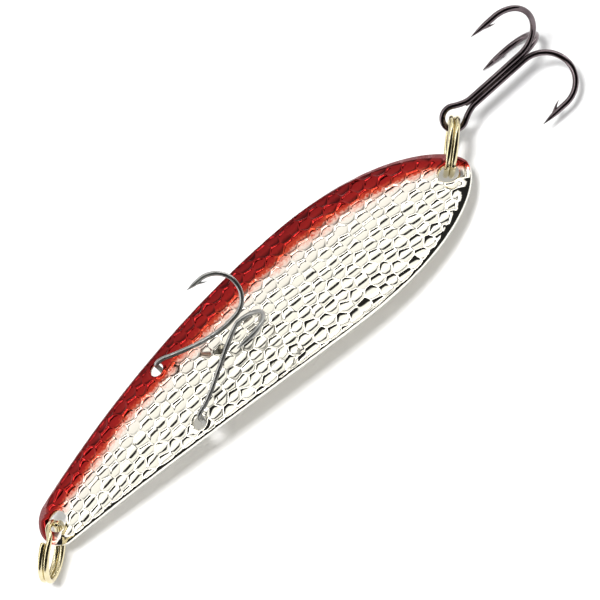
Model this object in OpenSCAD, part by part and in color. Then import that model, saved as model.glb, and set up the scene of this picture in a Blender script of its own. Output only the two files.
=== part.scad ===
// Casting spoon with a tail treble and a threaded belly hook.
// Origin: centre of the front split ring, where the line is clipped on.
// +X runs from the front towards the tail, +Y across the blade, +Z up out of the domed face.

/* [Blade] */
// Length of the blade from tip to tip
blade_length = 115; // [80:1:150]
// Greatest width of the blade
blade_width = 30; // [20:0.5:40]
// Distance of the widest place from the front tip
widest_at = 79.5; // [50:0.5:95]
// Thickness of the sheet
sheet = 1.2; // [0.8:0.1:2]
// Radius of the bend along the blade
long_radius = 236; // [150:1:500]
// Radius of the bend across the blade
cross_radius = 80; // [40:1:150]
// Radius of the rounded front tip
nose_radius = 5.6; // [4.5:0.1:8]
// Distance of each ring hole from its tip
ring_hole_inset = 4.5; // [4:0.1:7]
// Diameter of the ring holes
ring_hole = 4.4; // [3.5:0.1:5]
// Diameter of the belly hook holes
belly_hole = 3; // [2.5:0.1:4]
// Distance of the belly holes from the front tip
belly_hole_at = 39.9; // [30:0.1:60]
// Distance between the belly holes
belly_hole_gap = 16.4; // [12:0.1:20]

/* [Split rings] */
// Outside diameter of a ring
ring_outside = 13; // [10:0.5:16]
// Diameter of the ring wire
ring_wire = 1.2; // [0.8:0.1:1.4]
// Heading of the front ring away from the centre line
front_yaw = 42; // [0:1:60]
// Lean of the front ring
front_lean = 16; // [0:0.5:30]
// Heading of the tail ring away from the centre line
tail_yaw = 48; // [0:1:60]
// Lean of the tail ring
tail_lean = 24; // [0:0.5:30]
// Place of the treble eye round the tail ring
eye_place = 24.5; // [0:0.5:40]

/* [Treble] */
// Diameter of the treble wire
treble_wire = 1.3; // [1:0.1:1.8]
// Radius from the shank to each point
treble_spread = 13.5; // [9:0.1:16]
// Distance from the eye to the points
treble_points_at = 12.3; // [8:0.1:20]
// Distance from the eye to the start of the bends
treble_bend_at = 18.4; // [12:0.1:24]
// Inside radius of the treble eye
treble_eye_inside = 1.8; // [1.4:0.1:2.5]
// Roll of the treble about its shank
treble_roll = 49; // [0:1:90]

/* [Belly hook] */
// Diameter of the belly hook wire
belly_wire = 1; // [0.8:0.1:1.2]
// Radius of the belly hook bends
belly_bend = 5.1; // [4:0.1:7]
// Angle of each bend away from upright
belly_splay = 56; // [30:1:75]
// Height of the point where the legs meet
belly_rise = 5.6; // [4:0.1:8]
// Length of each point beyond the bend
belly_point = 3.2; // [2:0.1:6]

/* [Hidden] */

half_length = blade_length / 2;
half_width = blade_width / 2;
widest_x = widest_at - half_length;
front_hole_x = ring_hole_inset - half_length;
tail_hole_x = half_length - ring_hole_inset;
belly_x = belly_hole_at - half_length;
ring_mean = (ring_outside - ring_wire) / 2;
coil_step = ring_wire * 0.48;
// Middle of the strip of metal that each ring swings on, and the ring's centre beyond it
strip_out = 3.1;
front_ring_out = 3.1;
tail_ring_out = 3.3;
// Height of the swing above the middle of the sheet, which keeps the wire off the lower edge of the hole
strip_rise = 0.3;
front_way = [-cos(front_yaw), -sin(front_yaw), 0];
tail_way = [cos(tail_yaw), sin(tail_yaw), 0];
front_strip = [front_hole_x, 0, 0] + strip_out * front_way
    + [0, 0, strip_rise + blade_z(front_hole_x - 2.5, 2.3)];
tail_strip = [tail_hole_x, 0, 0] + strip_out * tail_way
    + [0, 0, strip_rise + blade_z(tail_hole_x + 2.3, 2.5)];
front_centre = front_strip + front_ring_out * front_way;
tail_centre = tail_strip + tail_ring_out * tail_way;
tail_up = [sin(tail_lean) * sin(tail_yaw), -sin(tail_lean) * cos(tail_yaw), cos(tail_lean)];
eye_centre = tail_centre + ring_mean * (cos(eye_place) * tail_way + sin(eye_place) * tail_up);
// Shank spacing leaves room for the braze between the three wires
shank_out = treble_wire * 0.655;
bar_z = blade_z(belly_x, belly_hole_gap / 2) - sheet / 2 - belly_wire / 2 - 0.45;
bar_x = belly_x + 0.6;
$fa = 4;
$fs = 0.25;

function blade_z(x, y) = sqrt(pow(long_radius - cross_radius + sqrt(pow(cross_radius, 2) - y * y), 2) - x * x)
    - long_radius;

// Half width of the blade at a place along it
function tail_share(x) = (x - widest_x) / (half_length - widest_x);
function front_share(x) = (widest_x - x) / (half_length + widest_x);
function side_half(x) = x > widest_x ? half_width * pow(max(0, 1 - pow(tail_share(x), 2.2)), 0.6)
    : half_width * (1 - 0.7 * pow(front_share(x), 1.54));
function nose_half(x) = let (d = nose_radius - half_length - x) d > 0 ?
    sqrt(max(0, nose_radius * nose_radius - d * d)) : half_width;
function blade_half(x) = min(side_half(x), nose_half(x));
// Places along the blade, closer together at both tips
function along(i, n) = -half_length * cos(180 * i / n);

// Swept wire: a tube through points, with a radius at each point
function unit(v) = v / norm(v);
function heading(p, i) = unit(p[min(i + 1, len(p) - 1)] - p[max(i - 1, 0)]);
function carry(n, t) = unit(n - (n * t) * t);
function sides(p, start) = [for (i = 0, n = carry(start, heading(p, 0)); i < len(p);
    i = i + 1, n = i < len(p) ? carry(n, heading(p, i)) : n) n];
function tube_points(p, r, m, start) = let (s = sides(p, start)) [for (i = [0:len(p) - 1])
    let (t = heading(p, i), b = cross(t, s[i]))
    for (k = [0:m - 1]) p[i] + r[i] * (cos(360 * k / m) * s[i] + sin(360 * k / m) * b)];
function tube_faces(n, m) = concat([[for (k = [0:m - 1]) k]], [[for (k = [0:m - 1]) (n - 1) * m + m - 1 - k]],
    [for (i = [0:n - 2]) for (k = [0:m - 1]) let (a = i * m + k, b = i * m + (k + 1) % m) each
    [[a, a + m, b], [b, a + m, b + m]]]);
module tube(p, r, m = 12, start = [0.13, 0.21, 1]) {
    polyhedron(points = tube_points(p, r, m, start), faces = tube_faces(len(p), m), convexity = 8);
}

// One treble hook in its own plane: x along the shank, the second number away from it
bend_radius = (treble_spread - shank_out) / 2;
function out_way(turn) = [0, sin(turn), cos(turn)];
function hook_place(x, out, turn) = [x, 0, 0] + out * out_way(turn);
point_drop = treble_bend_at - treble_points_at;
function treble_path(start_x, turn) = concat([hook_place(start_x, shank_out, turn)],
    [for (i = [0:24]) let (a = 180 * i / 24) hook_place(treble_bend_at + bend_radius * sin(a),
    shank_out + bend_radius * (1 - cos(a)), turn)],
    [hook_place(treble_bend_at - point_drop * 0.45, treble_spread + 0.02, turn)],
    [hook_place(treble_points_at + 0.05, treble_spread + 0.12, turn)]);
treble_radii = concat([for (i = [0:25]) treble_wire / 2], [treble_wire * 0.46], [0.07]);
module treble_hook(start_x, turn) {
    tube(treble_path(start_x, turn), treble_radii);
    tube([hook_place(treble_points_at + point_drop * 0.5, treble_spread - 0.05, turn),
        hook_place(treble_points_at + point_drop * 0.78, treble_spread - treble_wire * 0.95, turn),
        hook_place(treble_points_at + point_drop * 0.95, treble_spread - treble_wire * 1.25, turn)],
        [0.45, 0.22, 0.06], 8);
}

// Belly hook: half of the wire on one side of the blade's middle
splay_way = [0, sin(belly_splay), cos(belly_splay)];
leg_meet = [1.2, belly_wire * 0.75, belly_rise];
leg_top = [bar_x + 2.1, belly_hole_gap / 2 - 0.6, blade_z(belly_x, belly_hole_gap / 2) + 2.5];
// A smooth curve from one place to another with a heading at each end
function ease(a, b, u, v, s) = (2 * pow(s, 3) - 3 * s * s + 1) * a + (pow(s, 3) - 2 * s * s + s) * u
    + (3 * s * s - 2 * pow(s, 3)) * b + (pow(s, 3) - s * s) * v;
hole_top = [bar_x, belly_hole_gap / 2, blade_z(belly_x, belly_hole_gap / 2) + 1.1];
bar_turn = 0.9;
bar_end = [bar_x, belly_hole_gap / 2 - bar_turn, bar_z];
belly_path = concat([[bar_x, 0, bar_z]],
    [for (i = [0:6]) let (a = 15 * i) bar_end + [0, bar_turn * sin(a), bar_turn * (1 - cos(a))]],
    [for (i = [0:8]) ease(hole_top, leg_top, [0, 0, 3.4], [3.6, -1.1, -0.1], i / 8)],
    [for (i = [1:10]) ease(leg_top, leg_meet, [14, -6.2, -0.4], [14, -1.5, 6], i / 10)],
    [for (i = [1:20]) let (a = 180 * i / 20) leg_meet + [belly_bend * sin(a), 0, 0]
        + belly_bend * (1 - cos(a)) * splay_way],
    [leg_meet + [-belly_point * 0.45, 0, 0] + (2 * belly_bend + 0.02) * splay_way],
    [leg_meet + [-belly_point, 0, 0] + (2 * belly_bend + 0.1) * splay_way]);
belly_radii = [for (i = [0:len(belly_path) - 1]) i == len(belly_path) - 1 ? 0.06
    : (i == len(belly_path) - 2 ? belly_wire * 0.46 : belly_wire / 2)];
function flip(p) = [for (i = [len(p) - 1:-1:1]) [p[i].x, -p[i].y, p[i].z]];
function back(r) = [for (i = [len(r) - 1:-1:1]) r[i]];

module outline() {
    n = 44;
    polygon(concat([for (i = [0:n]) let (x = along(i, n)) [x, -blade_half(x)]],
        [for (i = [n - 1:-1:1]) let (x = along(i, n)) [x, blade_half(x)]]));
}

module shell() {
    translate([0, 0, -long_radius])
        rotate([90, 0, 0])
        rotate([0, 0, 72])
        rotate_extrude(angle = 36, $fn = 720)
        intersection() {
            translate([long_radius - cross_radius, 0])
                difference() {
                    circle(r = cross_radius + sheet / 2, $fn = 360);
                    circle(r = cross_radius - sheet / 2, $fn = 360);
                }
            translate([long_radius - 10, -20])
                square([20, 40]);
        }
}

module spoon_blade() {
    color("silver")
        translate(-front_centre)
        difference() {
            intersection() {
                shell();
                translate([0, 0, -20])
                    linear_extrude(height = 30)
                    outline();
            }
            translate([front_hole_x, 0, -20])
                cylinder(d = ring_hole, h = 30, $fn = 48);
            translate([tail_hole_x, 0, -20])
                cylinder(d = ring_hole, h = 30, $fn = 48);
            translate([belly_x, belly_hole_gap / 2, -20])
                cylinder(d = belly_hole, h = 30, $fn = 48);
            translate([belly_x, -belly_hole_gap / 2, -20])
                cylinder(d = belly_hole, h = 30, $fn = 48);
        }
}

// Split ring lying round Z: two turns of wire pressed together
module split_ring() {
    for (side = [-1, 1])
        translate([0, 0, side * coil_step])
        rotate_extrude($fn = 96)
        translate([ring_mean, 0])
        circle(d = ring_wire, $fn = 24);
}

module front_split_ring() {
    color("khaki")
        rotate([0, 90 - front_lean, 90 + front_yaw])
        split_ring();
}

module tail_split_ring() {
    color("khaki")
        translate(tail_centre - front_centre)
        rotate([0, 90 - tail_lean, 90 + tail_yaw])
        split_ring();
}

// Puts a treble piece, drawn round its own shank, on the eye
module on_treble() {
    translate(eye_centre - front_centre)
        rotate([treble_roll, 0, 0])
        translate([0, 0, -shank_out / 2])
        children();
}

module treble_double_hook() {
    eye_mean = treble_eye_inside + treble_wire / 2;
    color("dimgray")
        on_treble() {
            translate([0, 0, shank_out / 2])
                rotate_extrude($fn = 72)
                translate([eye_mean, 0])
                circle(d = treble_wire, $fn = 24);
            treble_hook(eye_mean - 0.1, 60);
            treble_hook(eye_mean - 0.1, -60);
        }
}

module treble_third_hook() {
    color("dimgray")
        on_treble()
        treble_hook(treble_eye_inside + treble_wire + 0.4, 180);
}

// Braze metal in the valleys between the three shanks
module treble_braze() {
    color("gray")
        on_treble()
        translate([5, 0, 0])
        rotate([0, 90, 0])
        difference() {
            cylinder(r = shank_out * 1.15, h = 8, $fn = 36);
            for (turn = [0, 120, 240])
                rotate([0, 0, turn])
                translate([shank_out, 0, -1])
                cylinder(d = treble_wire + 0.02, h = 10, $fn = 36);
        }
}

module belly_barb() {
    tube([leg_meet + [-belly_point * 0.35, 0, 0] + (2 * belly_bend - 0.05) * splay_way,
        leg_meet + [0.2, 0, 0] + (2 * belly_bend - belly_wire * 0.95) * splay_way,
        leg_meet + [1, 0, 0] + (2 * belly_bend - belly_wire * 1.35) * splay_way], [0.36, 0.18, 0.05], 8);
}

module belly_double_hook() {
    color("gray")
        translate(-front_centre) {
            tube(concat(flip(belly_path), belly_path), concat(back(belly_radii), belly_radii));
            translate([bar_x, 6, bar_z])
                rotate([90, 0, 0])
                cylinder(d = belly_wire + 0.06, h = 12, $fn = 36);
            belly_barb();
            mirror([0, 1, 0])
                belly_barb();
        }
}

spoon_blade();
front_split_ring();
tail_split_ring();
treble_double_hook();
treble_third_hook();
treble_braze();
belly_double_hook();
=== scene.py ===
"""Looks for a casting spoon with split rings, a tail treble and a threaded belly hook."""

import math
import random

import bpy
from mathutils import Matrix, Vector
from mathutils.geometry import delaunay_2d_cdt
from mathutils.kdtree import KDTree


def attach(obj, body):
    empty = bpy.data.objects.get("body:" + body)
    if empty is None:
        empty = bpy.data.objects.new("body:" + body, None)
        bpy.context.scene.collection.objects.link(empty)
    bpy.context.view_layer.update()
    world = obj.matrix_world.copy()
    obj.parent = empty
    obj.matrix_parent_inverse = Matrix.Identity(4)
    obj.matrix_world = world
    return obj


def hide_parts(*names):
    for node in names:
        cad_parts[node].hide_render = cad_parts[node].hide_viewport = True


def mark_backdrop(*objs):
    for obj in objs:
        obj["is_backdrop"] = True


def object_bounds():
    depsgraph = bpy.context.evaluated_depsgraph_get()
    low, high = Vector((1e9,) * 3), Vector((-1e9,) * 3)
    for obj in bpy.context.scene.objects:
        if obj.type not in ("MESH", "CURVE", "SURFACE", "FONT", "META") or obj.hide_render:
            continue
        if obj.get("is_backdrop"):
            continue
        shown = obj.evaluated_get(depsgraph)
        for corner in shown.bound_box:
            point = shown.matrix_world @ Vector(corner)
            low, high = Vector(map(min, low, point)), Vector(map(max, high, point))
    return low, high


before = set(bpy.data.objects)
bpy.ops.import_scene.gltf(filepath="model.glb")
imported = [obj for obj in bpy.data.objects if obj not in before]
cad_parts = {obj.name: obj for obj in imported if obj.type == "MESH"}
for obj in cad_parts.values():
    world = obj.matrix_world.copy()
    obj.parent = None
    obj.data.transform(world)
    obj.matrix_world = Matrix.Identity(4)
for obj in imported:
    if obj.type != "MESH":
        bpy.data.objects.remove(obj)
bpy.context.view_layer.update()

bl_info = {
    "name": "Spoon Lure",
    "version": (1, 0, 0),
    "blender": (4, 5, 0),
    "location": "3D View > Sidebar > Spoon",
    "description": "Builds a hammered casting spoon with rings and hooks",
    "category": "Object",
}

MM = 0.001

# Sizes are in millimetres and angles in degrees, in the blade's own frame: the crown of
# the blade is at the origin, +X to the tail, +Y to the red edge, +Z out of the domed face.

# blade
LENGTH = 115.0
WIDTH = 30.0
WIDEST = 22.0
HALF = LENGTH / 2
SIDE = WIDTH / 2
SHEET = 1.2
LONG_R = 236.0
CROSS_R = 80.0
NOSE_R = 5.6
TAIL_POWER, TAIL_ROUND = 2.2, 0.6
NOSE_TAPER, NOSE_POWER = 0.7, 1.54
RIM_INSET = 0.02
RING_HOLE_X, RING_HOLE_R = 53.0, 2.2
BELLY_X, BELLY_Y, BELLY_HOLE_R = -17.6, 8.2, 1.5
HOLES = [
    (-RING_HOLE_X, 0, RING_HOLE_R),
    (RING_HOLE_X, 0, RING_HOLE_R),
    (BELLY_X, BELLY_Y, BELLY_HOLE_R),
    (BELLY_X, -BELLY_Y, BELLY_HOLE_R),
]

# hammer marks: depths and widths are shares of the settings' depth and pitch
HAMMER_SEED = 11
HAMMER_TILT = 24
JITTER = 0.2
BLOW_SIZES = (0.7, 1.3)
FACET_LEAN = 0.03
CUP_REACH = 0.6
FACET_DROP = 0.45
RIDGE_WIDTH = 0.13
BACK_SHARE = 0.8

# the blade's mesh and its edges
POINT_SPACING = 0.2
HEX_ROW = 0.866
HOLE_STEPS = 48
RIM_FADE = 0.9
ROLL_DEPTH, ROLL_REACH = 0.22, 0.3
EDGE_BAND = 0.6
SKIN = 0.01
PAINT_BAND = 13.5

# split rings: yaw and lean set how each hangs, spin sets where its ends lie
RING_WIRE = 1.2
RING_OUT = 13.0
FRONT_YAW, FRONT_LEAN, FRONT_SPIN = 42, 16, 200
TAIL_YAW, TAIL_LEAN, TAIL_SPIN = 48, 24, 40
STRIP_OUT, STRIP_RISE = 3.1, 0.3
FRONT_RING_OUT, TAIL_RING_OUT = 3.1, 3.3

# treble, measured from the middle of its eye along the shank
TREBLE_WIRE = 1.3
SPREAD = 13.5
POINTS_AT = 12.3
BEND_AT = 18.4
ROLL = 49.0
EYE_HOLE_R = 1.8
EYE_OUT, EYE_TURN = 5.9, 24.5
NECK = 2.6
PAIR_TURN, THIRD_TURN = 60, 180
THIRD_FROM = 3.6
BRAZE_FROM, BRAZE_LENGTH = 5.05, 7.9

# belly hook
BELLY_WIRE = 1.0
BELLY_BEND = 5.1
SPLAY = 56.0
RISE = 5.6
BELLY_POINT = 3.2
BAR_BEND = 0.9

# a finished wire is a hair under its nominal size
TRIM = 0.985

# stage: lamps and camera distance are in metres
LAMPS = [
    ("key", (0.0, -0.26, 0.95), 0.2, 9.5),
    ("fill", (0.3, -0.6, 0.7), 0.5, 0.5),
]
LAMP_AIM = Vector((0.07, 0, 0))
LENS, SENSOR = 150, 36
CAMERA_UP, CAMERA_ROLL = 56, 41.7
CAMERA_AIM = Vector((13.5, -0.87, -3))
CAMERA_BACK = 0.5035


def mid_z(x, y):
    """Height of the middle of the sheet above the crown of the blade."""
    return math.sqrt((LONG_R - CROSS_R + math.sqrt(CROSS_R**2 - y * y)) ** 2 - x * x) - LONG_R


def normal_at(x, y):
    """Outward direction of the domed face."""
    step = 0.05
    dx = (mid_z(x + step, y) - mid_z(x - step, y)) / (2 * step)
    dy = (mid_z(x, y + step) - mid_z(x, y - step)) / (2 * step)
    return Vector((-dx, -dy, 1)).normalized()


def half_width(x):
    """Half the width of the blade at a place along it."""
    if x > WIDEST:
        t = min(1.0, (x - WIDEST) / (HALF - WIDEST))
        side = SIDE * (1 - t**TAIL_POWER) ** TAIL_ROUND
    else:
        side = SIDE * (1 - NOSE_TAPER * ((WIDEST - x) / (HALF + WIDEST)) ** NOSE_POWER)
    d = NOSE_R - HALF - x
    return min(side, math.sqrt(max(0.0, NOSE_R**2 - d * d))) if d > 0 else side


def rim_at(x):
    """Half the width of the finished sheet, a hair inside the blank's outline."""
    return max(0.0, half_width(x) - RIM_INSET)


def ring_centre(hole_x, yaw, way, ring_out):
    """Centre of a split ring, and the way it lies out from its hole."""
    out = Vector((way * math.cos(math.radians(yaw)), way * math.sin(math.radians(yaw)), 0))
    edge = mid_z(hole_x - 2.5, 2.3) if way < 0 else mid_z(hole_x + 2.3, 2.5)
    at = Vector((hole_x, 0, edge + STRIP_RISE)) + STRIP_OUT * out
    return at + ring_out * out, out


def eye_centre():
    """Middle of the treble's eye, on the wire of the tail ring."""
    lean, yaw = math.radians(TAIL_LEAN), math.radians(TAIL_YAW)
    up = Vector((math.sin(lean) * math.sin(yaw), -math.sin(lean) * math.cos(yaw), math.cos(lean)))
    turn = math.radians(EYE_TURN)
    return TAIL_CENTRE + EYE_OUT * (math.cos(turn) * TAIL_OUT + math.sin(turn) * up)


FRONT_CENTRE, _ = ring_centre(-RING_HOLE_X, FRONT_YAW, -1, FRONT_RING_OUT)
TAIL_CENTRE, TAIL_OUT = ring_centre(RING_HOLE_X, TAIL_YAW, 1, TAIL_RING_OUT)
EYE = eye_centre()
ORIGIN = FRONT_CENTRE


def new_object(name, verts, faces, material):
    """A mesh object from points in millimetres in the blade's own frame."""
    mesh = bpy.data.meshes.new(name)
    mesh.from_pydata([(Vector(v) - ORIGIN) * MM for v in verts], [], faces)
    mesh.validate()
    mesh.update()
    mesh.polygons.foreach_set("use_smooth", [True] * len(mesh.polygons))
    mesh.materials.append(material)
    obj = bpy.data.objects.new(name, mesh)
    bpy.context.scene.collection.objects.link(obj)
    return obj


def sweep(path, radii, around, verts, faces, start=Vector((0.13, 0.21, 1))):
    """Adds a closed tube along a path to the lists of points and faces."""
    first = len(verts)
    side = start
    count = len(path)
    for i, p in enumerate(path):
        t = (path[min(i + 1, count - 1)] - path[max(i - 1, 0)]).normalized()
        side = (side - side.dot(t) * t).normalized()
        other = t.cross(side)
        for k in range(around):
            a = 2 * math.pi * k / around
            verts.append(p + radii[i] * (math.cos(a) * side + math.sin(a) * other))
    for i in range(count - 1):
        for k in range(around):
            a = first + i * around + k
            b = first + i * around + (k + 1) % around
            faces.append((a, b, b + around, a + around))
    faces.append(tuple(first + k for k in reversed(range(around))))
    faces.append(tuple(first + (count - 1) * around + k for k in range(around)))


# ---------------------------------------------------------------- materials


def shader(name, metallic, roughness):
    """A material with its principled shader, nodes and links."""
    mat = bpy.data.materials.new(name)
    mat.use_nodes = True
    nodes, links = mat.node_tree.nodes, mat.node_tree.links
    bsdf = nodes["Principled BSDF"]
    bsdf.inputs["Metallic"].default_value = metallic
    bsdf.inputs["Roughness"].default_value = roughness
    return mat, nodes, links, bsdf


def noise(nodes, links, scale, detail, low, high):
    """A noise value spread between two numbers."""
    where = nodes.new("ShaderNodeTexCoord")
    tex = nodes.new("ShaderNodeTexNoise")
    tex.inputs["Scale"].default_value = scale
    tex.inputs["Detail"].default_value = detail
    links.new(where.outputs["Object"], tex.inputs["Vector"])
    spread = nodes.new("ShaderNodeMapRange")
    spread.inputs["From Min"].default_value = 0.3
    spread.inputs["From Max"].default_value = 0.7
    spread.inputs["To Min"].default_value = low
    spread.inputs["To Max"].default_value = high
    links.new(tex.outputs["Fac"], spread.inputs["Value"])
    return spread.outputs["Result"]


def ramp(nodes, links, value, stops):
    """A colour ramp fed by a value."""
    node = nodes.new("ShaderNodeValToRGB")
    bar = node.color_ramp.elements
    while len(bar) < len(stops):
        bar.new(0.5)
    for element, (place, colour) in zip(bar, stops):
        element.position = place
        element.color = (*colour, 1)
    links.new(value, node.inputs["Fac"])
    return node.outputs["Color"]


def metal(name, dark, light, rough_low, rough_high, scale, bump):
    """Metal whose colour and polish wander a little over the surface."""
    mat, nodes, links, bsdf = shader(name, 1.0, rough_low)
    tone = noise(nodes, links, scale, 4, 0, 1)
    links.new(ramp(nodes, links, tone, [(0.0, dark), (1.0, light)]), bsdf.inputs["Base Color"])
    links.new(noise(nodes, links, scale * 3, 6, rough_low, rough_high), bsdf.inputs["Roughness"])
    node = nodes.new("ShaderNodeBump")
    node.inputs["Strength"].default_value = bump
    node.inputs["Distance"].default_value = 0.00005
    links.new(noise(nodes, links, scale * 12, 3, 0, 1), node.inputs["Height"])
    links.new(node.outputs["Normal"], bsdf.inputs["Normal"])
    return mat


def blade_material(settings):
    """Plated metal under transparent red lacquer that fades in from one edge."""
    mat, nodes, links, bsdf = shader("hammered_plate", 1.0, 0.05)
    paint = nodes.new("ShaderNodeAttribute")
    paint.attribute_name = "paint"
    grain = noise(nodes, links, 1900, 5, -0.05, 0.05)
    drift = noise(nodes, links, 160, 2, -0.04, 0.04)
    add = nodes.new("ShaderNodeMath")
    links.new(paint.outputs["Fac"], add.inputs[0])
    links.new(grain, add.inputs[1])
    more = nodes.new("ShaderNodeMath")
    links.new(add.outputs[0], more.inputs[0])
    links.new(drift, more.inputs[1])
    bare, deep = tuple(settings.plate_colour), tuple(settings.paint_colour)
    stops = [
        (0.0, bare),
        (0.3, (0.93, 0.87, 0.79)),
        (0.42, (0.9, 0.54, 0.44)),
        (0.52, (0.58, 0.06, 0.022)),
        (0.62, (0.33, 0.007, 0.005)),
        (1.0, deep),
    ]
    links.new(ramp(nodes, links, more.outputs[0], stops), bsdf.inputs["Base Color"])
    links.new(noise(nodes, links, 700, 4, 0.03, 0.08), bsdf.inputs["Roughness"])
    bsdf.inputs["Coat Weight"].default_value = 0.2
    bsdf.inputs["Coat Roughness"].default_value = 0.06
    return mat


# ---------------------------------------------------------------- shapes


def dimple_centres(pitch):
    """Hammer blows on a loose honeycomb over the blade."""
    rng = random.Random(HAMMER_SEED)
    centres = []
    tilt = math.radians(HAMMER_TILT)
    reach = int((HALF + SIDE) / pitch) + 4
    for i in range(-reach, reach + 1):
        for j in range(-reach, reach + 1):
            u = (i + 0.5 * j) * pitch
            v = HEX_ROW * j * pitch
            x = u * math.cos(tilt) - v * math.sin(tilt) + rng.uniform(-JITTER, JITTER) * pitch
            y = u * math.sin(tilt) + v * math.cos(tilt) + rng.uniform(-JITTER, JITTER) * pitch
            size = rng.uniform(*BLOW_SIZES)
            lean = (rng.uniform(-FACET_LEAN, FACET_LEAN), rng.uniform(-FACET_LEAN, FACET_LEAN))
            if abs(x) < HALF + pitch and abs(y) < SIDE + pitch:
                centres.append((x, y, size, lean))
    return centres


def edge_gap(x, y):
    """Roughly how far a place is inside the outline and outside the holes."""
    best = 99.0
    for step in (-3, -1.5, 0, 1.5, 3):
        px = max(-HALF, min(HALF, x + step))
        best = min(best, math.hypot(px - x, half_width(px) - abs(y)) if abs(y) < half_width(px) else 0.0)
    best = min(best, HALF - abs(x))
    for hx, hy, r in HOLES:
        best = min(best, math.hypot(x - hx, y - hy) - r)
    return max(0.0, best)


def paint_share(x, y):
    """How much red lies on a place: 1 at the far edge, 0 on bare metal."""
    w = max(0.5, half_width(x))
    share = 1 - (w - y) / (PAINT_BAND * (0.42 + 0.58 * w / SIDE))
    front = 1.15 - math.hypot(x + HALF, (y - 2.0) * 0.7) / 5.5
    tail = 1.05 - math.hypot(x - HALF, (y - 2.5) * 0.7) / 4.5
    return max(0.0, min(1.0, max(share, front, tail)))


def flat_mesh(spacing):
    """Triangles over the flat outline with its holes: the points, and the triangles."""
    outline = []
    n = 260
    for i in range(n + 1):
        x = -HALF * math.cos(math.pi * i / n)
        outline.append((x, -rim_at(x)))
    for i in range(n - 1, 0, -1):
        x = -HALF * math.cos(math.pi * i / n)
        outline.append((x, rim_at(x)))
    loops = [outline]
    angles = [2 * math.pi * k / HOLE_STEPS for k in range(HOLE_STEPS)]
    for hx, hy, r in HOLES:
        loops.append([(hx + r * math.cos(a), hy + r * math.sin(a)) for a in angles])
    points, edges = [], []
    for loop in loops:
        first = len(points)
        points += [Vector(p) for p in loop]
        edges += [(first + k, first + (k + 1) % len(loop)) for k in range(len(loop))]
    row, y = 0, -SIDE
    while y < SIDE:
        x = -HALF + (row % 2) * spacing / 2
        while x < HALF:
            if abs(y) < half_width(x) and edge_gap(x, y) > spacing * 0.6:
                points.append(Vector((x, y)))
            x += spacing
        y += spacing * HEX_ROW
        row += 1
    out = delaunay_2d_cdt(points, edges, [], 0, 1e-5)
    verts, tris = out[0], out[2]
    kept = []
    for t in tris:
        cx = sum(verts[i].x for i in t) / 3
        cy = sum(verts[i].y for i in t) / 3
        in_hole = any(math.hypot(cx - hx, cy - hy) < r * 0.995 for hx, hy, r in HOLES)
        if in_hole or abs(cy) > rim_at(cx):
            continue
        a, b, c = (verts[i] for i in t)
        turn = (b - a).cross(c - a)
        if abs(turn) > 1e-9:
            kept.append(tuple(t) if turn > 0 else tuple(reversed(t)))
    return verts, kept


def boundary(tris):
    """Edges used by one triangle only, in that triangle's direction."""
    used = {}
    for t in tris:
        for k in range(3):
            used[(t[k], t[(k + 1) % 3])] = True
    return [e for e in used if (e[1], e[0]) not in used]


def blade_mesh(settings):
    """The hammered shell: domed face, hollow face and a rolled rim round every edge."""
    pitch = settings.dimple_pitch / MM
    depth = settings.dimple_depth / MM
    flat, tris = flat_mesh(POINT_SPACING)
    centres = dimple_centres(pitch)
    tree = KDTree(len(centres))
    for i, (x, y, _, _) in enumerate(centres):
        tree.insert((x, y, 0), i)
    tree.balance()
    verts, paint = [], []
    gaps = [edge_gap(p.x, p.y) for p in flat]
    count = len(flat)
    for side in (1, -1):
        for p, gap in zip(flat, gaps):
            near = tree.find_n((p.x, p.y, 0), 2)
            (_, i, d0), (_, _, d1) = near
            cup = 1 - min(1.0, (d0 / (pitch * CUP_REACH)) ** 2)
            ridge = math.exp(-(((d1 - d0) / (RIDGE_WIDTH * pitch)) ** 2))
            fade = min(1.0, gap / RIM_FADE)
            cx, cy, size, lean = centres[i]
            tip = lean[0] * (p.x - cx) + lean[1] * (p.y - cy)
            h = -(depth * size * cup + FACET_DROP * depth * (1 - ridge)) * fade + tip * (1 - ridge) * fade
            h = min(0.0, h)
            roll = ROLL_DEPTH * (1 - min(1.0, gap / ROLL_REACH)) ** 2
            n = normal_at(p.x, p.y)
            base = Vector((p.x, p.y, mid_z(p.x, p.y)))
            # the blows show through on the hollow face, a little weaker
            if side > 0:
                off = SHEET / 2 + h - roll - SKIN
            else:
                off = -SHEET / 2 + h * BACK_SHARE + roll + SKIN
            # the sheet is cut straight down, so the rim is the outline itself
            place = base + n * off
            if gap < EDGE_BAND:
                share = gap / EDGE_BAND
                place = place * share + Vector((p.x, p.y, base.z + off / max(n.z, 0.5))) * (1 - share)
            verts.append(place)
            paint.append(paint_share(p.x, p.y) if side > 0 else 0.0)
    faces = list(tris) + [tuple(i + count for i in reversed(t)) for t in tris]
    for a, b in boundary(tris):
        faces.append((b, a, a + count, b + count))
    return verts, faces, paint


def split_ring_path(step):
    """Two turns of wire that cross over once, lying round Z."""
    mean = (RING_OUT - RING_WIRE) / 2
    first, last = 24, 698.0
    cross_at, cross_over = 342, 36
    path = []
    n = 230
    for i in range(n + 1):
        a = first + (last - first) * i / n
        share = min(1.0, max(0.0, (a - cross_at) / cross_over))
        share = share * share * (3 - 2 * share)
        ang = math.radians(a)
        path.append(Vector((mean * math.cos(ang), mean * math.sin(ang), step * (2 * share - 1))))
    return path


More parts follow.
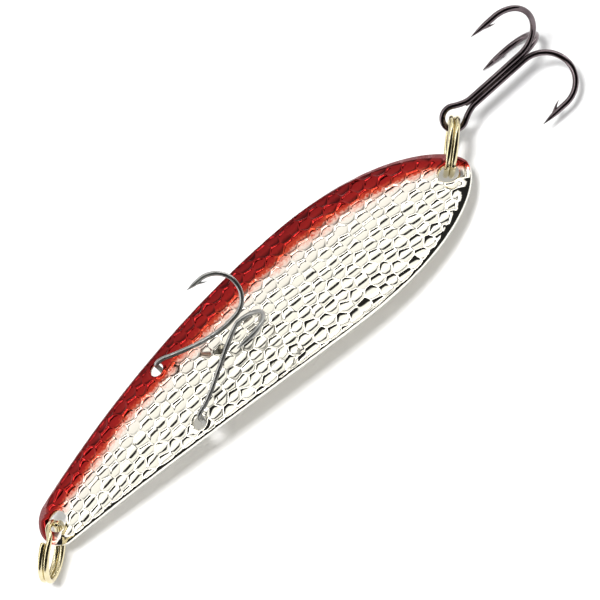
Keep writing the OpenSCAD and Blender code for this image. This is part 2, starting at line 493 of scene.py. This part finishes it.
def ring_mesh(centre, lean, yaw, spin):
    """A split ring set at its place on the blade."""
    verts, faces = [], []
    path = split_ring_path(RING_WIRE * 0.48)
    n = len(path)
    radii = [RING_WIRE / 2 * TRIM] * n
    radii[0] = radii[-1] = RING_WIRE * 0.36
    turn = Matrix.Rotation(math.radians(90 + yaw), 3, "Z")
    turn = turn @ Matrix.Rotation(math.radians(90 - lean), 3, "Y")
    turn = turn @ Matrix.Rotation(math.radians(spin), 3, "Z")
    path = [centre + turn @ p for p in path]
    sweep(path, radii, 20, verts, faces, turn @ Vector((0, 0, 1)))
    return verts, faces


SHANK_OUT = TREBLE_WIRE * 0.655
TREBLE_TURN = Matrix.Rotation(math.radians(ROLL), 3, "X")


def on_treble(x, out, turn):
    """A place on the treble in the blade's frame."""
    a = math.radians(turn)
    local = Vector((x, out * math.sin(a), out * math.cos(a) - SHANK_OUT / 2))
    return EYE + TREBLE_TURN @ local


def point_radius(wire, s, shoulder, begin, length, power, tip):
    """Radius of a hook's point a share s along it: nearly parallel, then ground to a tip."""
    if s < shoulder:
        return wire / 2 * TRIM * (1 - 0.1 * s)
    return max(tip, wire / 2 * 0.9 * (1 - ((s - begin) / length) ** power))


def treble_side(turn, start, fine):
    """Path and radii of one hook, from the start on its shank to its point."""
    bend = (SPREAD - SHANK_OUT) / 2
    drop = BEND_AT - POINTS_AT
    path = [on_treble(start + (BEND_AT - start) * i / 12, SHANK_OUT, turn) for i in range(12)]
    for i in range(fine + 1):
        a = math.pi * i / fine
        path.append(on_treble(BEND_AT + bend * math.sin(a), SHANK_OUT + bend * (1 - math.cos(a)), turn))
    radii = [TREBLE_WIRE / 2 * TRIM] * len(path)
    for i in range(1, 11):
        s = i / 10
        path.append(on_treble(BEND_AT - drop * s + 0.06 * s, SPREAD + 0.1 * s * s, turn))
        radii.append(point_radius(TREBLE_WIRE, s, 0.45, 0.4, 0.62, 1.5, 0.05))
    return path, radii


def treble_barb(turn, verts, faces):
    """The barb cut up from the point towards the shank."""
    drop = BEND_AT - POINTS_AT
    path = [
        on_treble(POINTS_AT + drop * 0.46, SPREAD - 0.02, turn),
        on_treble(POINTS_AT + drop * 0.62, SPREAD - TREBLE_WIRE * 0.45, turn),
        on_treble(POINTS_AT + drop * 0.78, SPREAD - TREBLE_WIRE * 0.9, turn),
        on_treble(POINTS_AT + drop * 0.94, SPREAD - TREBLE_WIRE * 1.22, turn),
    ]
    sweep(path, [0.42, 0.34, 0.2, 0.04], 10, verts, faces)


def treble_double(fine):
    """One wire: hook, shank, round the eye, shank, hook."""
    verts, faces = [], []
    mean = EYE_HOLE_R + TREBLE_WIRE / 2
    neck = mean + NECK
    left, left_r = treble_side(PAIR_TURN, neck, fine)
    right, right_r = treble_side(-PAIR_TURN, neck, fine)
    side = SHANK_OUT * math.sin(math.radians(PAIR_TURN))
    start = math.radians(60)
    leave = mean * Vector((math.cos(start), math.sin(start), 0))
    meet = Vector((neck, side, 0))
    run = neck - leave.x
    heading = run * Vector((math.sin(start), -math.cos(start), 0))
    # the wire leaves the round of the eye and eases in to lie along the shank
    drawn = [ease(leave, meet, heading, Vector((run, 0, 0)), 1 - i / 14) for i in range(1, 14)]
    round_eye = []
    n = 48
    for i in range(n + 1):
        a = start + (2 * math.pi - 2 * start) * i / n
        round_eye.append(Vector((mean * math.cos(a), mean * math.sin(a), 0)))
    other = [Vector((p.x, -p.y, 0)) for p in reversed(drawn)]
    loop = [EYE + TREBLE_TURN @ p for p in drawn + round_eye + other]
    path = list(reversed(left)) + loop + right
    radii = list(reversed(left_r)) + [TREBLE_WIRE / 2 * TRIM] * len(loop) + right_r
    sweep(path, radii, 18, verts, faces)
    treble_barb(PAIR_TURN, verts, faces)
    treble_barb(-PAIR_TURN, verts, faces)
    return verts, faces


def treble_third(fine):
    """The single hook laid in behind the double one."""
    verts, faces = [], []
    path, radii = treble_side(THIRD_TURN, THIRD_FROM, fine)
    radii[0] = 0.25
    radii[1] = 0.55
    sweep(path, radii, 18, verts, faces)
    treble_barb(THIRD_TURN, verts, faces)
    return verts, faces


def braze_mesh():
    """Solid metal drawn into the valleys between the three shanks."""
    verts, faces = [], []
    around, along = 60, 22
    for i in range(along + 1):
        x = BRAZE_FROM + BRAZE_LENGTH * i / along
        swell = math.sin(math.pi * i / along) ** 0.35
        for k in range(around):
            a = 360 * k / around
            # the metal stands out midway between the wires, which are at 60, 180 and 300 degrees
            wave = 0.5 - 0.5 * math.cos(math.radians(3 * (a - PAIR_TURN)))
            r = 0.3 + (0.62 * wave + 0.02 * math.sin(i * 1.7 + k)) * swell
            verts.append(on_treble(x, r, a))
    for i in range(along):
        for k in range(around):
            a, b = i * around + k, i * around + (k + 1) % around
            faces.append((a, a + around, b + around, b))
    faces.append(tuple(range(around)))
    faces.append(tuple(along * around + k for k in reversed(range(around))))
    return verts, faces


def ease(a, b, u, v, s):
    """A smooth curve between two places with a heading at each."""
    leave = (2 * s**3 - 3 * s * s + 1) * a + (s**3 - 2 * s * s + s) * u
    return leave + (3 * s * s - 2 * s**3) * b + (s**3 - s * s) * v


def belly_half(fine):
    """Half of the belly wire, from the middle of its bar to its point."""
    bar_x = BELLY_X + 0.6
    hole_z = mid_z(BELLY_X, BELLY_Y)
    bar_z = hole_z - SHEET / 2 - BELLY_WIRE / 2 - 0.45
    splay = Vector((0, math.sin(math.radians(SPLAY)), math.cos(math.radians(SPLAY))))
    meet = Vector((1.2, BELLY_WIRE * 0.75, RISE))
    top = Vector((bar_x + 2.1, BELLY_Y - 0.6, hole_z + 2.5))
    through = Vector((bar_x, BELLY_Y, hole_z + 1.1))
    path = [Vector((bar_x, y, bar_z)) for y in (0, 2.5, 5)]
    end = Vector((bar_x, BELLY_Y - BAR_BEND, bar_z))
    corner = [math.pi / 2 * i / 10 for i in range(11)]
    path += [end + BAR_BEND * Vector((0, math.sin(a), 1 - math.cos(a))) for a in corner]
    upright, over = Vector((0, 0, 3.4)), Vector((3.6, -1.1, -0.1))
    path += [ease(through, top, upright, over, i / 14) for i in range(15)]
    inward, rising = Vector((14, -6.2, -0.4)), Vector((14, -1.5, 6))
    path += [ease(top, meet, inward, rising, i / 20) for i in range(1, 21)]
    for i in range(1, fine + 1):
        a = math.pi * i / fine
        path.append(meet + Vector((BELLY_BEND * math.sin(a), 0, 0)) + BELLY_BEND * (1 - math.cos(a)) * splay)
    radii = [BELLY_WIRE / 2 * TRIM] * len(path)
    for i in range(1, 9):
        s = i / 8
        out = 2 * BELLY_BEND + 0.08 * s * s
        path.append(meet + Vector((-BELLY_POINT * s, 0, 0)) + out * splay)
        radii.append(point_radius(BELLY_WIRE, s, 0.4, 0.38, 0.64, 1.4, 0.04))
    return path, radii, meet, splay


def belly_mesh(fine):
    """The whole belly hook with both barbs."""
    verts, faces = [], []
    path, radii, meet, splay = belly_half(fine)
    flip = [Vector((p.x, -p.y, p.z)) for p in path[1:]]
    sweep(list(reversed(flip)) + path, list(reversed(radii[1:])) + radii, 16, verts, faces)
    # places on the barb, along the shank and out from the point towards it
    barb_places = [
        (-0.36 * BELLY_POINT, -0.03),
        (-0.35, -0.5 * BELLY_WIRE),
        (0.3, -0.95 * BELLY_WIRE),
        (0.95, -1.3 * BELLY_WIRE),
    ]
    for side in (1, -1):
        barb = []
        for x, out in barb_places:
            p = meet + Vector((x, 0, 0)) + (2 * BELLY_BEND + out) * splay
            barb.append(Vector((p.x, side * p.y, p.z)))
        sweep(barb, [0.33, 0.26, 0.15, 0.03], 10, verts, faces)
    return verts, faces


# ---------------------------------------------------------------- add-on


class SpoonSettings(bpy.types.PropertyGroup):
    """Choices for the spoon's looks."""

    dimple_pitch: bpy.props.FloatProperty(
        name="Dimple pitch",
        description="Distance between hammer blows",
        default=0.003,
        min=0.001,
        max=0.006,
        unit="LENGTH",
    )
    dimple_depth: bpy.props.FloatProperty(
        name="Dimple depth",
        description="Depth of each hammer blow",
        default=0.00021,
        min=0.0,
        max=0.0005,
        unit="LENGTH",
    )
    bend_steps: bpy.props.IntProperty(
        name="Bend steps",
        description="Segments round each hook bend",
        default=48,
        min=12,
        max=120,
    )
    paint_colour: bpy.props.FloatVectorProperty(
        name="Deep red",
        description="Lacquer colour at the painted edge",
        default=(0.16, 0.002, 0.004),
        min=0,
        max=1,
        size=3,
        subtype="COLOR",
    )
    plate_colour: bpy.props.FloatVectorProperty(
        name="Plate",
        description="Colour of the bare plated face",
        default=(0.93, 0.9, 0.8),
        min=0,
        max=1,
        size=3,
        subtype="COLOR",
    )
    ring_colour: bpy.props.FloatVectorProperty(
        name="Ring gold",
        description="Lighter tone of the plating on the split rings",
        default=(0.84, 0.76, 0.52),
        min=0,
        max=1,
        size=3,
        subtype="COLOR",
    )
    treble_colour: bpy.props.FloatVectorProperty(
        name="Treble black",
        description="Lighter tone of the plating on the treble",
        default=(0.21, 0.17, 0.18),
        min=0,
        max=1,
        size=3,
        subtype="COLOR",
    )
    belly_colour: bpy.props.FloatVectorProperty(
        name="Belly hook",
        description="Lighter tone of the satin belly wire",
        default=(0.52, 0.52, 0.5),
        min=0,
        max=1,
        size=3,
        subtype="COLOR",
    )


def carry(obj, body, slot_name, *nodes):
    """Puts a finished piece on its body in place of its CAD nodes."""
    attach(obj, body)
    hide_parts(*nodes)


class SPOON_OT_blade(bpy.types.Operator):
    """Build the hammered blade"""

    bl_idname = "spoon.blade"
    bl_label = "Blade"

    def execute(self, context):
        settings = context.scene.spoon_settings
        verts, faces, paint = blade_mesh(settings)
        obj = new_object("hammered_blade", verts, faces, blade_material(settings))
        layer = obj.data.attributes.new("paint", "FLOAT", "POINT")
        layer.data.foreach_set("value", paint)
        carry(obj, "blade", "blade_plate", "spoon_blade")
        return {"FINISHED"}


class SPOON_OT_rings(bpy.types.Operator):
    """Build both split rings"""

    bl_idname = "spoon.rings"
    bl_label = "Split rings"

    def execute(self, context):
        light = tuple(context.scene.spoon_settings.ring_colour)
        gold = metal("pale_gold_plate", (0.62, 0.53, 0.3), light, 0.08, 0.2, 260, 0.15)
        front_mesh = ring_mesh(FRONT_CENTRE, FRONT_LEAN, FRONT_YAW, FRONT_SPIN)
        tail_mesh = ring_mesh(TAIL_CENTRE, TAIL_LEAN, TAIL_YAW, TAIL_SPIN)
        front = new_object("front_ring_coil", *front_mesh, gold)
        tail = new_object("tail_ring_coil", *tail_mesh, gold)
        carry(front, "front_ring", "ring_plate", "front_split_ring")
        carry(tail, "tail_ring", "ring_plate", "tail_split_ring")
        return {"FINISHED"}


class SPOON_OT_treble(bpy.types.Operator):
    """Build the treble hook"""

    bl_idname = "spoon.treble"
    bl_label = "Treble"

    def execute(self, context):
        fine = context.scene.spoon_settings.bend_steps
        light = tuple(context.scene.spoon_settings.treble_colour)
        black = metal("black_nickel", (0.1, 0.078, 0.084), light, 0.05, 0.14, 220, 0.05)
        braze = metal("plated_braze", (0.05, 0.04, 0.04), (0.12, 0.09, 0.08), 0.25, 0.5, 500, 0.4)
        double = new_object("treble_pair", *treble_double(fine), black)
        third = new_object("treble_single", *treble_third(fine), black)
        joint = new_object("treble_braze_fill", *braze_mesh(), braze)
        carry(double, "treble", "treble_nickel", "treble_double_hook")
        carry(third, "treble", "treble_nickel", "treble_third_hook")
        carry(joint, "treble", "braze_metal", "treble_braze")
        return {"FINISHED"}


class SPOON_OT_belly(bpy.types.Operator):
    """Build the belly hook"""

    bl_idname = "spoon.belly"
    bl_label = "Belly hook"

    def execute(self, context):
        fine = context.scene.spoon_settings.bend_steps
        light = tuple(context.scene.spoon_settings.belly_colour)
        satin = metal("satin_wire", (0.3, 0.3, 0.29), light, 0.25, 0.42, 300, 0.2)
        obj = new_object("belly_hook_wire", *belly_mesh(fine), satin)
        carry(obj, "belly_hook", "belly_wire", "belly_double_hook")
        return {"FINISHED"}


def make_floor():
    """A plain pale floor just under the lowest point of the lure."""
    low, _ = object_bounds()
    mat, nodes, links, bsdf = shader("white_floor", 0.0, 0.6)
    tone = noise(nodes, links, 3, 2, 0, 1)
    pale = [(0.0, (0.93, 0.93, 0.93)), (1.0, (0.95, 0.95, 0.95))]
    links.new(ramp(nodes, links, tone, pale), bsdf.inputs["Base Color"])
    mesh = bpy.data.meshes.new("floor")
    z, s = low[2] - 0.0001, 3.0
    mesh.from_pydata([(-s, -s, z), (s, -s, z), (s, s, z), (-s, s, z)], [], [(0, 1, 2, 3)])
    mesh.materials.append(mat)
    floor = bpy.data.objects.new("floor", mesh)
    bpy.context.scene.collection.objects.link(floor)
    return floor


def make_world():
    """Even white light, with white and black bands across it for what the metal mirrors."""
    world = bpy.data.worlds.new("studio")
    world.use_nodes = True
    nodes, links = world.node_tree.nodes, world.node_tree.links
    where = nodes.new("ShaderNodeTexCoord")
    parts = nodes.new("ShaderNodeSeparateXYZ")
    links.new(where.outputs["Generated"], parts.inputs["Vector"])
    height = nodes.new("ShaderNodeMapRange")
    height.inputs["From Min"].default_value = -1
    height.inputs["From Max"].default_value = 1
    links.new(parts.outputs["Y"], height.inputs["Value"])
    white, black, strip_light = (0.19, 0.19, 0.187), (0.003, 0.003, 0.003), (1, 1, 1)
    bands = [
        (0.0, black),
        (0.5, black),
        (0.53, white),
        (0.61, white),
        (0.62, strip_light),
        (0.65, strip_light),
        (0.66, white),
        (0.708, white),
        (0.716, black),
        (0.752, black),
        (0.76, white),
        (0.9, (0.17, 0.17, 0.165)),
        (0.97, (0.04, 0.04, 0.04)),
    ]
    mirrored = nodes["Background"]
    links.new(ramp(nodes, links, height.outputs["Result"], bands), mirrored.inputs["Color"])
    mirrored.inputs["Strength"].default_value = 6.0
    soft = nodes.new("ShaderNodeBackground")
    soft.inputs["Strength"].default_value = 0.62
    path = nodes.new("ShaderNodeLightPath")
    mix = nodes.new("ShaderNodeMixShader")
    links.new(path.outputs["Is Glossy Ray"], mix.inputs[0])
    links.new(soft.outputs[0], mix.inputs[1])
    links.new(mirrored.outputs[0], mix.inputs[2])
    links.new(mix.outputs[0], nodes["World Output"].inputs["Surface"])
    bpy.context.scene.world = world


def make_lamp(name, place, size, power):
    """A soft square lamp aimed at the middle of the blade."""
    data = bpy.data.lights.new(name, "AREA")
    data.size, data.energy = size, power
    lamp = bpy.data.objects.new(name, data)
    lamp.location = place
    lamp.visible_glossy = False
    lamp.rotation_mode = "QUATERNION"
    lamp.rotation_quaternion = (LAMP_AIM - Vector(place)).to_track_quat("-Z", "Y")
    bpy.context.scene.collection.objects.link(lamp)
    return lamp


def make_camera():
    """A long lens square across the blade, raised and rolled so the lure stands on a diagonal."""
    data = bpy.data.cameras.new("camera")
    data.lens, data.sensor_width = LENS, SENSOR
    camera = bpy.data.objects.new("camera", data)
    bpy.context.scene.collection.objects.link(camera)
    up = math.radians(CAMERA_UP)
    turn = math.radians(CAMERA_ROLL)
    back = Vector((0, -math.cos(up), math.sin(up)))
    level, rise = Vector((1, 0, 0)), Vector((0, math.sin(up), math.cos(up)))
    right = math.cos(turn) * level - math.sin(turn) * rise
    top = math.sin(turn) * level + math.cos(turn) * rise
    aim = (CAMERA_AIM - ORIGIN) * MM
    basis = Matrix((right, top, back)).transposed().to_4x4()
    camera.matrix_world = Matrix.Translation(aim + back * CAMERA_BACK) @ basis
    data.clip_start, data.clip_end = 0.01, 20
    return camera


class SPOON_OT_stage(bpy.types.Operator):
    """Build the floor, lights and camera"""

    bl_idname = "spoon.stage"
    bl_label = "Stage"

    def execute(self, context):
        scene = context.scene
        floor = make_floor()
        make_world()
        lights = [make_lamp(*lamp) for lamp in LAMPS]
        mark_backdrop(floor, *lights)
        scene.camera = make_camera()
        scene.view_settings.view_transform = "Standard"
        scene.view_settings.look = "None"
        scene.view_settings.exposure = 0.0
        return {"FINISHED"}


class SPOON_PT_panel(bpy.types.Panel):
    """Controls in the sidebar"""

    bl_idname = "SPOON_PT_panel"
    bl_label = "Spoon Lure"
    bl_space_type = "VIEW_3D"
    bl_region_type = "UI"
    bl_category = "Spoon"

    def draw(self, context):
        settings = context.scene.spoon_settings
        for name in SpoonSettings.__annotations__:
            self.layout.prop(settings, name)
        for cls in BUILDERS:
            self.layout.operator(cls.bl_idname)


BUILDERS = (SPOON_OT_blade, SPOON_OT_rings, SPOON_OT_treble, SPOON_OT_belly, SPOON_OT_stage)
CLASSES = (SpoonSettings, *BUILDERS, SPOON_PT_panel)


def register():
    """Add the classes and the scene's settings."""
    for cls in CLASSES:
        bpy.utils.register_class(cls)
    bpy.types.Scene.spoon_settings = bpy.props.PointerProperty(type=SpoonSettings)


def unregister():
    """Take them away again."""
    del bpy.types.Scene.spoon_settings
    for cls in reversed(CLASSES):
        bpy.utils.unregister_class(cls)


def main():
    """Register the add-on and build every piece in order."""
    register()
    ops = bpy.ops.spoon
    for step in (ops.blade, ops.rings, ops.treble, ops.belly, ops.stage):
        if step() != {"FINISHED"}:
            raise RuntimeError("a step did not finish")


if __name__ == "__main__":
    main()
